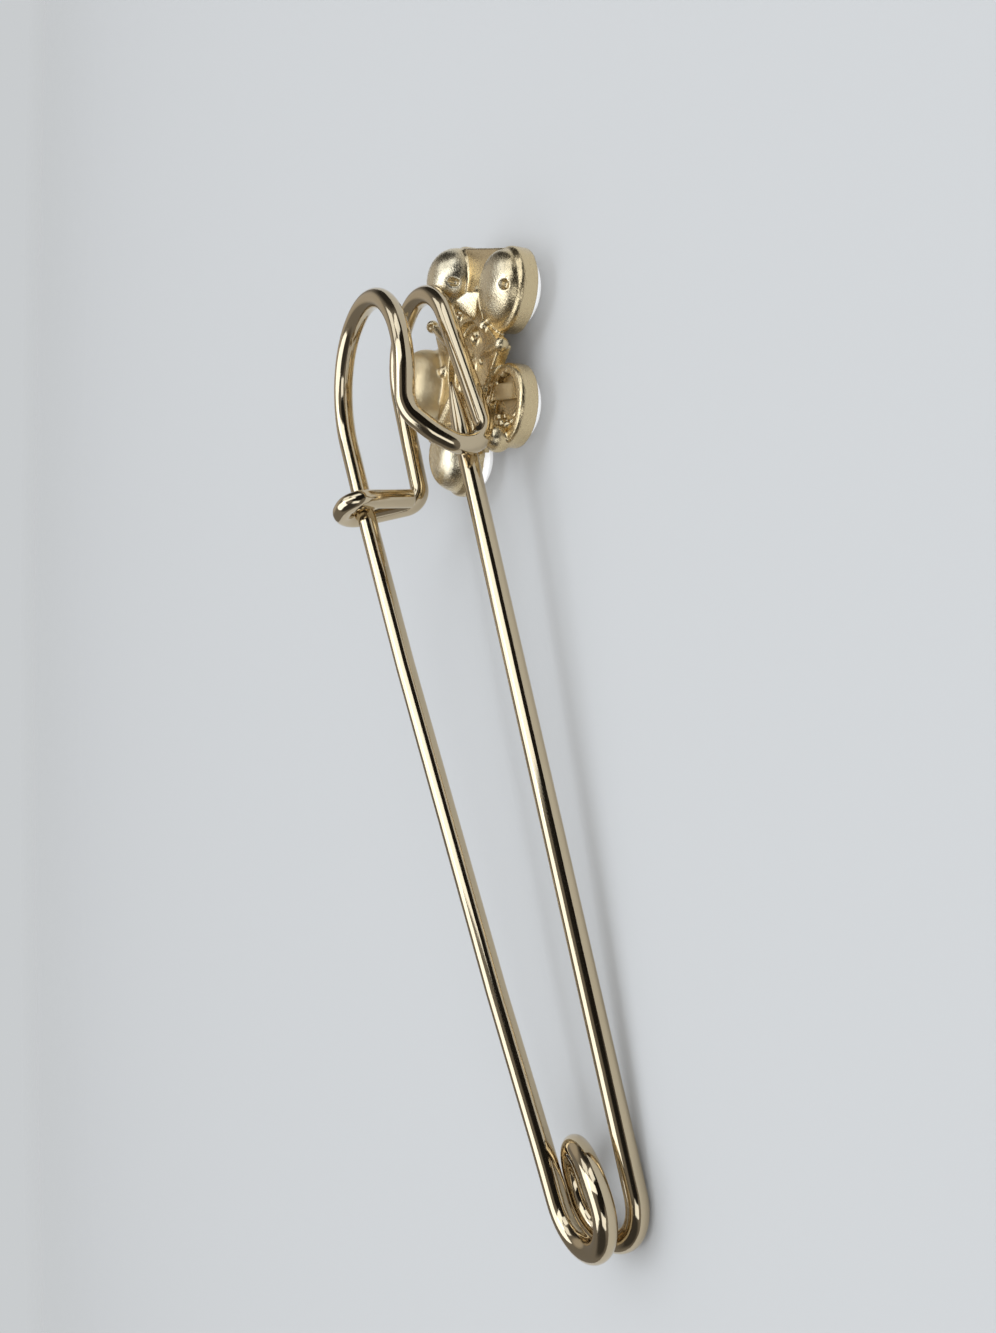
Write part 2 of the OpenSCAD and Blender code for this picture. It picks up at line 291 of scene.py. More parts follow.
def half_turn(start, end, travel, angle=math.pi):
    """A half turn of the coil, from one side to the other."""
    outward = (start - end).normalized()
    return ("turn", (start + end) / 2, travel.cross(outward), angle)


far_side = Vector((ARM, COIL_D, 0))
drop = Vector((0, 0, -PITCH))
coil_moves = [
    half_turn(ARM_END, far_side, Vector((1, 0, 0))),
    half_turn(far_side, ARM_END + drop, Vector((-1, 0, 0))),
    half_turn(ARM_END + drop, far_side + COIL_TURNS * drop, Vector((1, 0, 0)), math.pi - stem_lean),
]
print("the coil steps down", COIL_TURNS * PITCH, "mm in", COIL_TURNS, "turns")

# %% [markdown]
# ## Coil and stem in one wire
# Coil and stem are one wire on the real pin, so they are one piece here: the last ring of the coil is drawn
# out straight, past the catch's bar. Its point is ground, so it narrows slowly at first and fast at the end,
# in a few short steps.

# %% Coil and stem
PAST_CATCH, POINT_LENGTH = 5.8, 4.2
stem_root = Vector((
    ARM + coil_r * math.sin(stem_lean), coil_r + coil_r * math.cos(stem_lean), -COIL_TURNS * PITCH,
))
stem_span = (stem_root.x - STEM_X) / math.cos(stem_lean)
stem_dir = Vector((
    -math.cos(stem_lean), math.sin(stem_lean), (-CATCH_DEPTH - stem_root.z) / stem_span,
)).normalized()
stem_length = stem_span + PAST_CATCH

stem_wire = bend_wire("stem_wire", ARM_END, Vector((1, 0, 0)), coil_moves)
bpy.ops.mesh.extrude_region_move(
    TRANSFORM_OT_translate={"value": stem_dir * (stem_length - POINT_LENGTH)}
)
# How the point is ground: share of its length, and share of the wire's radius left there
GROUND = [
    (0, 1.0), (0.12, 0.97), (0.35, 0.86), (0.56, 0.70), (0.75, 0.52), (0.9, 0.31), (0.985, 0.16), (1.0, 0.1),
]
for (from_share, from_r), (to_share, to_r) in zip(GROUND, GROUND[1:]):
    step = stem_dir * POINT_LENGTH * (to_share - from_share)
    bpy.ops.mesh.extrude_region_move(TRANSFORM_OT_translate={"value": step})
    here = stem_root + stem_dir * (stem_length - POINT_LENGTH * (1 - to_share))
    bpy.ops.transform.resize(value=(to_r / from_r,) * 3, center_override=here)
note_drawing(stem_wire)
close_ends(stem_wire)
print("stem", round(stem_length, 1), "mm with a point of", POINT_LENGTH, "mm")

# %% [markdown]
# ## The cast flower
# The flower is one casting. Five round cups stand in a ring with their mouths to the front, a star of
# metal joins them behind, and small grains sit where the wax was touched up. Cups, domes, star and grains
# are simple turned or extruded shapes. What makes them look cast is that they run into each other with
# small soft fillets, so they are joined, remeshed into one skin, and smoothed a little.

# %% Where the petals are
# How far out the petals are, and the lean and the place of the flower on the catch
RING_R = 6.6
LEAN = math.radians(5.7)
FLOWER_MID = Vector((-5.76, 9.63, -6.5))
ON_CATCH = Matrix.Translation(FLOWER_MID) @ Matrix.Rotation(-LEAN, 4, "Y")
TO_FLOWER = ON_CATCH.inverted()
FIRST_PETAL, STEP = math.radians(172.5), math.radians(72)
# The flower's own heights count from the tops of its cups: the front, with the rims, is below
CUP_R, CUP_DEPTH, SHOULDER = 2.8, 1.35, 0.35
PEARL_R, PEARL_GAP, SEAT_DEPTH = 2.5, 0.05, 0.6
RIM_Z = -CUP_DEPTH
SEAT_Z = RIM_Z + SEAT_DEPTH


def spoke(angle, out, z=0.0):
    """A point of the flower at an angle and a distance from its middle."""
    return Vector((out * math.cos(angle), out * math.sin(angle), z))


petal_angles = [FIRST_PETAL - STEP * i for i in range(5)]
gap_angles = [angle - STEP / 2 for angle in petal_angles]
print("petals at", [round(math.degrees(a)) for a in petal_angles], "degrees")

# %% [markdown]
# ## Cups
# Each cup is a round setting with a seat for its stone in front and a raised back. It is turned as a plain
# cylinder with a bevelled shoulder. A round plug cuts the seat from the front, as plugs of other sizes cut
# every other round hole of the casting.

# %% Turn and cut a cup
ROUND_SIDES = 72
# How far a cut goes on past the surface
CLEAR = 1


def turned_cup(name, at, rim_z):
    """A closed round cup with a soft shoulder, its mouth still full."""
    start_clean()
    bpy.ops.mesh.primitive_cylinder_add(
        vertices=ROUND_SIDES, radius=CUP_R, depth=-rim_z, location=at + Vector((0, 0, rim_z / 2))
    )
    cup = named(name)
    edit(cup)
    pick_faces(cup, lambda face: face.normal.z > 0.9)
    bpy.ops.mesh.bevel(offset=SHOULDER, segments=5, profile=0.5)
    return cup


def plug(name, at, radius, low, high):
    """A round plug to cut or fill with."""
    start_clean()
    bpy.ops.mesh.primitive_cylinder_add(
        vertices=ROUND_SIDES, radius=radius, depth=high - low, location=at + Vector((0, 0, (low + high) / 2))
    )
    return named(name)


def cut_away(piece, tool):
    """Takes a tool's shape out of a piece."""
    finish_with(piece, "BOOLEAN", operation="DIFFERENCE", object=tool, solver="EXACT")
    bpy.data.objects.remove(tool)


def cut_seat(piece, at):
    """Cuts the seat of the stone at a place out of a piece, from the front."""
    cut_away(piece, plug("pocket", at, PEARL_R + PEARL_GAP, RIM_Z - CLEAR, SEAT_Z))


print("a cup is", 2 * CUP_R, "mm across and", CUP_DEPTH, "mm deep")

# %% [markdown]
# ## Backs
# The backs are steeper at their sides and flatter on top than an egg, and most of them lean, so a squashed
# sphere doesn't fit them. A disc is drawn up ring by ring instead, along an outline whose fullness is one
# number: 2 gives an egg, and more gives a squarer shoulder.

# %% Raise a back
FOOT_DEPTH = 0.4
DOME_SIDES, DOME_RINGS, DOME_TIP_R = 64, 14, 0.02


def dome_on(name, at, radius, height, fullness, lean):
    """The raised back of a cup: a disc drawn up ring by ring along a full, egg-like outline that leans."""
    start_clean()
    bpy.ops.mesh.primitive_circle_add(
        vertices=DOME_SIDES, radius=radius, fill_type="NGON", location=at - Vector((0, 0, FOOT_DEPTH))
    )
    dome = named(name)
    edit(dome)
    bpy.ops.mesh.select_all(action="SELECT")
    bpy.ops.mesh.extrude_region_move(TRANSFORM_OT_translate={"value": (0, 0, FOOT_DEPTH)})
    out_before, up_before = radius, 0.0
    slant = lean / height
    for ring in range(1, DOME_RINGS + 1):
        angle = math.pi / 2 * ring / DOME_RINGS
        out = max(radius * abs(math.cos(angle)) ** (2 / fullness), DOME_TIP_R)
        up = height * math.sin(angle) ** (2 / fullness)
        bpy.ops.mesh.extrude_region_move(
            TRANSFORM_OT_translate={"value": (slant * (up - up_before), 0, up - up_before)}
        )
        bpy.ops.transform.resize(
            value=(out / out_before, out / out_before, 1), center_override=at + Vector((slant * up, 0, up))
        )
        out_before, up_before = out, up
    bpy.ops.mesh.select_all(action="SELECT")
    bpy.ops.mesh.normals_make_consistent(inside=False)
    return dome


print("a back is drawn up in", DOME_RINGS, "rings")

# %% [markdown]
# ## A ledge in the open cup
# One cup is open behind, and a flat ledge crosses a side of its hole. It is a plug a little wider than the
# hole, so it bites into the wall, and two bisects leave only a strip of it.

# %% Cut the ledge
# The way from the cup's middle to the ledge, and how far out it starts and ends
LEDGE_TURN, LEDGE_FROM, LEDGE_TO = math.radians(146), 0.35, 1.5
# How far its underside is below the top of the cup, its height, and how far it bites into the wall
LEDGE_LOW, LEDGE_H, LEDGE_BITE = 0.4, 0.26, 0.2


def ledge_in(at, hole_r):
    """The flat ledge across one side of the open cup."""
    ledge = plug("ledge", at, hole_r + LEDGE_BITE, -LEDGE_LOW, LEDGE_H - LEDGE_LOW)
    way = Vector((math.cos(LEDGE_TURN), math.sin(LEDGE_TURN), 0))
    for out, side in ((LEDGE_FROM, 1), (LEDGE_TO, -1)):
        edit(ledge)
        bpy.ops.mesh.select_all(action="SELECT")
        bpy.ops.mesh.bisect(plane_co=at + way * out, plane_no=way * side, clear_inner=True, use_fill=True)
    return ledge


print("the ledge is", round(LEDGE_TO - LEDGE_FROM, 2), "mm wide")

# %% [markdown]
# ## Five cups in a ring
# No two cups are alike. The first two backs have a small pit, as a bubble leaves, and the second is low. The
# third is missing, so that cup is open behind. The fourth cup's wall is a little short. One table holds
# all of this, and one loop makes the cups from it.

# %% Set the cups in their ring
# Backs of the cups: the dome's radius, height, fullness, lean and place on its cup, its pit's radius and
# place, and the depth of wall that is missing. A back with no height is an opening of that radius.
CUP_BACKS = [
    (2.4, 2.15, 2.2, 0.05, -0.2, 0.1, 0.28, 1.24, 1.53, 0),
    (2.45, 1.25, 2.05, -0.3, 0, 0.05, 0.32, 1.08, 1.46, 0),
    (2.1, 0, 2, 0, 0, 0, 0, 0, 0, 0),
    (2.5, 1.8, 2.6, -0.3, 0, 0, 0, 0, 0, 0.45),
    (2.6, 2.3, 2.6, -0.3, 0, 0, 0, 0, 0, 0),
]
PIT_DEPTH, OPEN_FLOOR = 0.5, 0.15

casting = []
for i, (angle, back) in enumerate(zip(petal_angles, CUP_BACKS), 1):
    radius, height, fullness, lean, dome_x, dome_y, pit_r, pit_x, pit_y, missing = back
    at = spoke(angle, RING_R)
    cup = turned_cup(f"cup_{i}", at, RIM_Z + missing)
    cut_seat(cup, at)
    if height:
        dome = dome_on(f"dome_{i}", at + Vector((dome_x, dome_y, 0)), radius, height, fullness, lean)
        if pit_r:
            out = math.hypot(pit_x - dome_x, pit_y - dome_y)
            pit_z = height * (1 - (out / radius) ** fullness) ** (1 / fullness)
            pit_at = at + Vector((pit_x, pit_y, 0))
            cut_away(dome, plug("pit", pit_at, pit_r, pit_z - PIT_DEPTH, pit_z + CLEAR))
        casting.append(dome)
    else:
        cut_away(cup, plug("opening", at, radius, SEAT_Z + OPEN_FLOOR, CLEAR))
        casting.append(ledge_in(at, radius))
    casting.append(cup)
print("cups, backs and ledge:", len(casting), "parts")

# %% [markdown]
# ## Star
# The star behind the cups has a point in each gap and a shallow well in its middle. Its points aren't the
# same length, so it is a flat plate extruded from an outline: a circle with a corner for each point and each
# valley, whose corners are then moved to their places.

# %% Cut the star
HUB_TOP, HUB_BOTTOM = 0.3, -0.6
# How far out each point of the star reaches, and the valleys between them
POINT_OUTS = [5.4, 5.7, 6.9, 6.9, 7.1]
VALLEY = 3.9
WELL_R, WELL_DEPTH = 3.0, 0.6


def slab(name, corners, low, high):
    """A flat plate with the given corners, cut out between two heights."""
    start_clean()
    bpy.ops.mesh.primitive_circle_add(vertices=len(corners), radius=1, fill_type="NGON")
    piece = named(name)
    for vertex, (x, y, *_) in zip(piece.data.vertices, corners):
        vertex.co = (x, y, low)
    edit(piece)
    bpy.ops.mesh.select_all(action="SELECT")
    bpy.ops.mesh.extrude_region_move(TRANSFORM_OT_translate={"value": (0, 0, high - low)})
    bpy.ops.mesh.select_all(action="SELECT")
    bpy.ops.mesh.normals_make_consistent(inside=False)
    return piece


star = [
    spot
    for petal, gap, out in zip(petal_angles, gap_angles, POINT_OUTS)
    for spot in (spoke(petal, VALLEY), spoke(gap, out))
]
hub = slab("hub", star, HUB_BOTTOM, HUB_TOP)
cut_away(hub, plug("well", Vector(), WELL_R, HUB_TOP - WELL_DEPTH, CLEAR))
casting.append(hub)
print("the star reaches", max(POINT_OUTS), "mm out")

# %% [markdown]
# ## Filled gap and web
# Between the two upper cups the metal fills the gap, and a web with one slanted face rises from it. The
# filler is a block that reaches into both cups, so both seats are cut from it as well. The web's face is cut
# with a bisect, at the angle at which it catches the light.

# %% Fill a gap and cut its web
# The filler's width as a share of the way from cup to cup, where it starts, how far it ends before the
# cups' outer sides, and its top
FILLER_SHARE, FILLER_IN, FILLER_INSET, FILLER_TOP = 0.82, 4.4, 0.2, 0.15
filler_width = FILLER_SHARE * 2 * RING_R * math.sin(STEP / 2)
filler_out = RING_R * math.cos(STEP / 2) + CUP_R - FILLER_INSET
start_clean()
bpy.ops.mesh.primitive_cube_add(
    size=1, rotation=(0, 0, gap_angles[0]),
    location=spoke(gap_angles[0], (FILLER_IN + filler_out) / 2, (RIM_Z + FILLER_TOP) / 2),
    scale=(filler_out - FILLER_IN, filler_width, FILLER_TOP - RIM_Z),
)
filler = named("filler")
for angle in petal_angles[:2]:
    cut_seat(filler, spoke(angle, RING_R))
casting.append(filler)

# Corners of the web: x and y
WEB = [(-1.85, 2.6), (-2.0, 3.5), (-2.3, 4.3), (-2.9, 4.4), (-3.8, 3.2), (-3.75, 2.3), (-3.3, 1.85)]
WEB_FOOT, WEB_UNCUT = -0.48, 2
# The slanted face's lean, the way it falls, and a point on it
WEB_LEAN, WEB_TURN, WEB_EDGE = math.radians(31), math.radians(51), Vector((-3.55, 1.68, 1.5))
web = slab("web", WEB, WEB_FOOT, WEB_UNCUT)
down_web = Vector((math.cos(WEB_TURN), math.sin(WEB_TURN), 0)) * math.sin(WEB_LEAN)
web_out = down_web + Vector((0, 0, math.cos(WEB_LEAN)))
bpy.ops.mesh.bisect(plane_co=WEB_EDGE, plane_no=web_out, clear_outer=True, use_fill=True)
casting.append(web)
print("the web's face slants by", round(math.degrees(WEB_LEAN)), "degrees")

# %% [markdown]
# ## Ribs, grains and solder
# Ribs, grains and lumps are small rods and balls sunk halfway in, as touches of wax would be. Each open gap
# has a rib along the star's point and a ball at its tip. Two larger balls are the solder that holds the
# flower to the catch.

# %% Add the ribs, grains and solder
# Rough lumps in and around the open cup: x, y, z from the cup's middle, and radius
LUMPS = [
    (-1.95, 0.8, -0.2, 0.24), (-1.8, 1.45, -0.18, 0.26), (-1.2, 2.0, -0.16, 0.22),
    (0.2, -1.25, -0.34, 0.42), (0.75, -1.1, -0.34, 0.4), (1.3, -0.45, -0.36, 0.32),
    (1.5, 0.2, -0.36, 0.25), (1.45, 0.85, -0.36, 0.28), (1.15, 1.3, -0.36, 0.22),
    (1.85, -0.95, -0.22, 0.2), (2.3, -0.9, -0.12, 0.18),
]
# Lumps of solder: x, y, z on the pin, and radius
SOLDER = [(-9.3, 2.3, -5.6, 1.05), (1.9, 11.6, -5.5, 0.95)]
SMALL_SIDES, SMALL_RINGS = 24, 16
RIB_FROM, RIB_R, RIB_Z = 2.6, 0.3, 0.22
GRAIN_OUT, GRAIN_R, GRAIN_TURN = 3.8, 0.42, math.radians(-6)
BEAD_OUT, BEAD_R, BEAD_Z = 2.0, 0.6, -0.4
MIDDLE_R, MIDDLE_Z = 0.84, -0.7
TIP_PAST, TIP_R, TIP_Z = 0.2, 0.5, 0.3


def ball(name, at, radius):
    """A small round grain."""
    start_clean()
    bpy.ops.mesh.primitive_uv_sphere_add(
        segments=SMALL_SIDES, ring_count=SMALL_RINGS, radius=radius, location=at
    )
    return named(name)


def rib(name, angle, out):
    """A rod along a point of the star, from the middle outwards."""
    start_clean()
    bpy.ops.mesh.primitive_cylinder_add(
        vertices=SMALL_SIDES, radius=RIB_R, depth=out - RIB_FROM, rotation=(0, math.pi / 2, angle),
        location=spoke(angle, (out + RIB_FROM) / 2, RIB_Z),
    )
    return named(name)


for i, (petal, gap, out) in enumerate(zip(petal_angles, gap_angles, POINT_OUTS), 1):
    casting.append(ball(f"grain_{i}", spoke(petal + GRAIN_TURN, GRAIN_OUT, HUB_TOP), GRAIN_R))
    casting.append(ball(f"bead_{i}", spoke(gap, BEAD_OUT, BEAD_Z), BEAD_R))
    if i > 1:
        casting.append(ball(f"tip_{i}", spoke(gap, out + TIP_PAST, TIP_Z), TIP_R))
        casting.append(rib(f"rib_{i}", gap, out))
for i, (x, y, z, radius) in enumerate(LUMPS):
    casting.append(ball(f"lump_{i}", spoke(petal_angles[2], RING_R) + Vector((x, y, z)), radius))
casting.append(ball("middle_bead", Vector((0, 0, MIDDLE_Z)), MIDDLE_R))
for i, (x, y, z, radius) in enumerate(SOLDER, 1):
    casting.append(ball(f"solder_{i}", TO_FLOWER @ Vector((x, y, z)), radius))
print("parts of the casting:", len(casting))

# %% [markdown]
# ## One skin
# The parts so far only stand in each other. A voxel remesh at a tenth of a millimetre makes them one closed
# skin, a few rounds of smoothing turn the sharp inner corners into the soft fillets of a casting, and a
# decimate takes out half of the faces again. A boolean union would keep the corners sharp, which reads as
# machined metal.

# %% Melt them into one skin
VOXEL, SOFTENED, ROUNDS, KEPT = 0.1, 0.5, 4, 0.5
flower = join("flower", casting)
finish_with(flower, "REMESH", mode="VOXEL", voxel_size=VOXEL, use_smooth_shade=True)
print("skin", len(flower.data.vertices), "vertices")
finish_with(flower, "SMOOTH", factor=SOFTENED, iterations=ROUNDS)
finish_with(flower, "DECIMATE", ratio=KEPT)
flower.data.transform(LAID @ ON_CATCH)
bpy.ops.object.shade_smooth()
print("flower", len(flower.data.polygons), "faces")

# %% [markdown]
# ## Sums of shader values
# A finish could be wired node by node, but its sums are easier to read as plain Python. Value wraps a
# socket, and a sum, a difference or a product of values adds the Math nodes, also with a number on the
# left, so that 1 - mask works.

# %% Shader sums in Python
class Value:
    """A number or colour that a material works out."""

    def __init__(self, finish, socket):
        self.finish, self.socket = finish, socket

    def math(self, operation, *values):
        """The result of a Math node on some values."""
        return self.finish.node("ShaderNodeMath", {"operation": operation}, dict(enumerate(values)))

    def __add__(self, other):
        return self.math("ADD", self, other)

    __radd__ = __add__

    def __sub__(self, other):
        return self.math("SUBTRACT", self, other)

    def __rsub__(self, other):
        return self.math("SUBTRACT", other, self)

    def __mul__(self, other):
        return self.math("MULTIPLY", self, other)

    __rmul__ = __mul__


# %% [markdown]
# ## All other nodes
# Everything else goes through one method, Nodes.node, which takes a node's type, its settings and its
# inputs. The nodes that the finishes share have short methods of their own on top of it, so a finish reads
# as a list of what it is made of.

# %% Nodes by one method
class Nodes:
    """A tree of nodes, of a material or of the room."""

    def __init__(self, tree):
        self.tree = tree

    def put(self, socket, value):
        """Links a worked-out value to a socket, or sets a plain one on it."""
        if isinstance(value, Value):
            self.tree.links.new(value.socket, socket)
        else:
            socket.default_value = value

    def node(self, kind, settings, values, out=0):
        """Adds a node of a type, with its settings and its inputs, and gives one of its outputs."""
        node = self.tree.nodes.new(kind)
        for key, value in settings.items():
            setattr(node, key, value)
        for key, value in values.items():
            self.put(node.inputs[key], value)
        return Value(self, node.outputs[out])

    def place(self, scale, turn=(0, 0, 0)):
        """Places on the piece, in millimetres times the scale."""
        spots = self.node("ShaderNodeTexCoord", {}, {}, "Object")
        per_mm = [share / MM for share in scale]
        return self.node("ShaderNodeMapping", {}, {"Vector": spots, "Rotation": turn, "Scale": per_mm})

    def noise(self, place, detail, roughness=0.5):
        """Soft noise from 0 to 1."""
        values = {"Vector": place, "Scale": 1.0, "Detail": detail, "Roughness": roughness}
        return self.node("ShaderNodeTexNoise", {}, values)

    def mix(self, share, first, second):
        """A colour between two others."""
        return self.node(
            "ShaderNodeMix", {"data_type": "RGBA"}, {0: share, 6: first, 7: second}, 2
        )

    def between(self, value, low, high, to_low=0.0, to_high=1.0):
        """Stretches the span from low to high onto another one, and goes no further at its ends."""
        return self.node(
            "ShaderNodeMapRange", {"clamp": True},
            {"Value": value, "From Min": low, "From Max": high, "To Min": to_low, "To Max": to_high},
        )

    def bump(self, height, distance):
        """The small relief of a height from 0 to 1, for a distance in millimetres."""
        return self.node("ShaderNodeBump", {}, {"Height": height, "Distance": distance * MM})


# %% [markdown]
# ## A finish
# Each finish is a material with one Principled shader. Constants and worked-out values are set in the same
# way, by the plain name of the shader's input.

# %% A material for a finish
class Finish(Nodes):
    """A material with one shader, whose constants are set on its own sockets."""

    def __init__(self, name, **constants):
        self.material = bpy.data.materials.new(name)
        self.material.use_nodes = True
        super().__init__(self.material.node_tree)
        self.shader = self.tree.nodes["Principled BSDF"]
        self.set(**constants)

    def set(self, **values):
        for key, value in values.items():
            self.put(self.shader.inputs[key.replace("_", " ").title()], value)


def colour(red, green, blue):
    """A colour as the sockets take it, fully opaque."""
    return (red, green, blue, 1.0)


# %% [markdown]
# ## Drawn gold wire
# The wire is plated with pale gold and nearly a mirror. What gives it away as drawn metal is that its lights
# are broken into fine streaks along the wire. The noise is stretched along it, and it moves the roughness a
# little and the surface by a few thousandths of a millimetre.

# %% Drawn gold wire
drawn_gold = Finish("drawn_gold", metallic=1.0)
drawn = drawn_gold.node("ShaderNodeAttribute", {"attribute_name": "drawn"}, {}, "Vector")
lines = drawn_gold.node("ShaderNodeMapping", {}, {"Vector": drawn, "Scale": (0.06, 7, 7)})
line_noise = drawn_gold.noise(lines, 4.0, 0.6)
cloud = drawn_gold.noise(drawn_gold.place((0.25, 0.25, 0.25)), 2.0)
drawn_gold.set(
    base_color=drawn_gold.mix(cloud, colour(0.61, 0.505, 0.34), colour(0.67, 0.555, 0.38)),
    roughness=drawn_gold.between(line_noise, 0.3, 0.7, 0.05, 0.12),
    normal=drawn_gold.bump(line_noise, 0.004),
)
print("drawn gold has", len(drawn_gold.tree.nodes), "nodes")

# %% [markdown]
# ## Cast gold
# The casting has the same plating over a satin surface. Fine lines run one way over a soft grain, as if the
# back was wiped with a brush. The colour changes with the height above the floor: the raised backs get a
# painted paler sheen, and the recesses a painted warm gold-on-gold reflection. The last cup's back, under
# the catch's wires, gets a rougher skin and a painted duller, yellower tone for their shade and warm
# reflection, and the ledge in the open cup gets the same as painted even light.

# %% Cast gold
# Heights above the floor between which the painted paler sheen starts and is full, and how much rougher the
# skin is under the painted dull tone
PAINTED_SHEEN_FROM, PAINTED_SHEEN_TO = 2.9, 3.7
DULLED = 0.2
cast_gold = Finish("cast_gold", metallic=1.0)
grain = cast_gold.noise(cast_gold.place((3, 3, 3)), 4.0, 0.6)
brushed = cast_gold.noise(cast_gold.place((1.5, 10.0, 10.0), (0, 0, math.radians(20))), 3.0, 0.6)
spots = cast_gold.node("ShaderNodeTexCoord", {}, {}, "Object")
level = cast_gold.node("ShaderNodeSeparateXYZ", {}, {"Vector": spots}, "Z")
# Painted sheen by height: higher up the gold is painted paler, lower down warmer for gold-on-gold reflection
painted_sheen = cast_gold.between(level, PAINTED_SHEEN_FROM * MM, PAINTED_SHEEN_TO * MM)


def painted_tone_ball(place, inner, outer):
    """How much of a place lies within a ball about a point of the flower, where the painted dull tone goes.
    """
    centre = LAID @ ON_CATCH @ place
    reach = cast_gold.node("ShaderNodeVectorMath", {"operation": "DISTANCE"}, {0: spots, 1: centre}, "Value")
    return 1 - cast_gold.between(reach, inner * MM, outer * MM)


# Painted shade and warm reflection of the catch's wires, over the last cup's back
painted_wire_shade = painted_tone_ball(spoke(petal_angles[4], RING_R, 1.0), 2.7, 3.3)
# Painted even light on the ledge in the open cup
ledge_out, ledge_top = (LEDGE_FROM + LEDGE_TO) / 2, LEDGE_H - LEDGE_LOW
painted_ledge_light = painted_tone_ball(spoke(petal_angles[2], RING_R) + spoke(LEDGE_TURN, ledge_out, ledge_top), 0.9, 1.3)
painted_shade_and_light = painted_wire_shade.math("MAXIMUM", painted_wire_shade, painted_ledge_light)
# The warm low colour is painted reflection, and the pale high one painted sheen
gold_painted_warm = cast_gold.mix(grain, colour(0.71, 0.56, 0.33), colour(0.78, 0.64, 0.39))
gold_painted_pale = cast_gold.mix(grain, colour(0.76, 0.66, 0.46), colour(0.84, 0.74, 0.54))
# A flat, yellower colour painted for the shade under the wires and the light on the ledge
painted_dull_gold = colour(0.80, 0.65, 0.40)
cast_gold.set(
    base_color=cast_gold.mix(painted_shade_and_light, cast_gold.mix(painted_sheen, gold_painted_warm, gold_painted_pale), painted_dull_gold),
    roughness=cast_gold.between(brushed, 0.3, 0.7, 0.16, 0.3) + painted_shade_and_light * DULLED,
    normal=cast_gold.bump(grain * 0.35 + brushed * 0.65, 0.035),
)
print("cast gold has", len(cast_gold.tree.nodes), "nodes")

# %% [markdown]
# ## Pearl white
# The stones are milky white with a gloss. Light that falls on their fronts shines through to their edges,
# which look bright even in the shade. A faint glow stands in for that, since real scattering would be slow
# and wouldn't show more on so narrow an edge.

# %% Pearl white
pearl_white = Finish(
    "pearl_white", roughness=0.12, coat_weight=0.6, coat_roughness=0.05,
    emission_color=colour(1.0, 1.0, 1.0), emission_strength=0.4,
)
milk = pearl_white.noise(pearl_white.place((0.5, 0.5, 0.5)), 2.0)
pearl_white.set(base_color=pearl_white.mix(milk, colour(0.86, 0.86, 0.85), colour(0.93, 0.92, 0.90)))
print("pearl white has", len(pearl_white.tree.nodes), "nodes")

# %% [markdown]
# ## Which piece has which finish
# The two wires share the drawn finish, the flower has the cast one, and the stones are the measured model's
# own pieces, which only get a finish.

# %% Give each piece its finish
for piece, finish in ((catch_wire, drawn_gold), (stem_wire, drawn_gold), (flower, cast_gold)):
    piece.data.materials.clear()
    piece.data.materials.append(finish.material)
for i in range(1, 6):
    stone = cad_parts[f"pearl_{i}"]
    stone.data.materials.clear()
    stone.data.materials.append(pearl_white.material)
print("finishes:", ", ".join(material.name for material in bpy.data.materials if material.users))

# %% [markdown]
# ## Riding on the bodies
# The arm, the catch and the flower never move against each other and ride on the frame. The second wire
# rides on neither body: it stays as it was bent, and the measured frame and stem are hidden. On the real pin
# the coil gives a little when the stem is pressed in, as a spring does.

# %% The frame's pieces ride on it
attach(catch_wire, "frame")
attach(flower, "frame")
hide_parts("brooch_frame")
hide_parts("brooch_frame")
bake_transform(stem_wire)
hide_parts("pin_stem")
print("on the bodies:", ", ".join(piece.name for piece in (catch_wire, flower, stem_wire)))

# %% [markdown]
# ## Floor
# A plain pale floor takes the pin's shadow. It fades out towards its rim, so it has no edge.

# %% Floor
# Radius of the floor, and the distances between which it fades out, in metres
FLOOR_R, FADE_FROM, FADE_TO = 1.2, 0.35, 0.9
start_clean()
bpy.ops.mesh.primitive_circle_add(vertices=96, radius=FLOOR_R, fill_type="TRIFAN", location=(0, 0, 0))
floor = named("floor")
floor_paint = Finish("floor_paint", roughness=0.9)
spot = floor_paint.node("ShaderNodeTexCoord", {}, {}, "Object")
far = floor_paint.node("ShaderNodeVectorMath", {"operation": "LENGTH"}, {0: spot}, "Value")
floor_paint.set(
    base_color=colour(0.428, 0.425, 0.418), alpha=1 - floor_paint.between(far, FADE_FROM, FADE_TO),
)
floor.data.materials.append(floor_paint.material)
print("floor fades out", FADE_TO, "m from the pin")

# %% [markdown]
# ## What polished metal sees
# Gold has no look of its own: it shows the room. So the room that mirrors see is grey, with one paler wall
# and some dark places, as furniture and corners are in a real room. The floor is lit by an even pale light,
# and the camera sees a plain backdrop.

# %% The room
world = bpy.data.worlds.new("room")
bpy.context.scene.world = world
world.use_nodes = True
room = Nodes(world.node_tree)
way = room.node("ShaderNodeTexCoord", {}, {}, "Generated")


def towards(direction, wide, narrow):
    """How much of something stands in a direction, between two closenesses to it."""
    near = room.node("ShaderNodeVectorMath", {"operation": "DOT_PRODUCT"}, {0: way, 1: direction}, "Value")
    return room.between(near, wide, narrow)


# The paler wall: its direction, and the closeness to it where it starts and where it is full
PALE_WALL = ((-0.62, -0.66, 0.42), 0.9, 0.97)
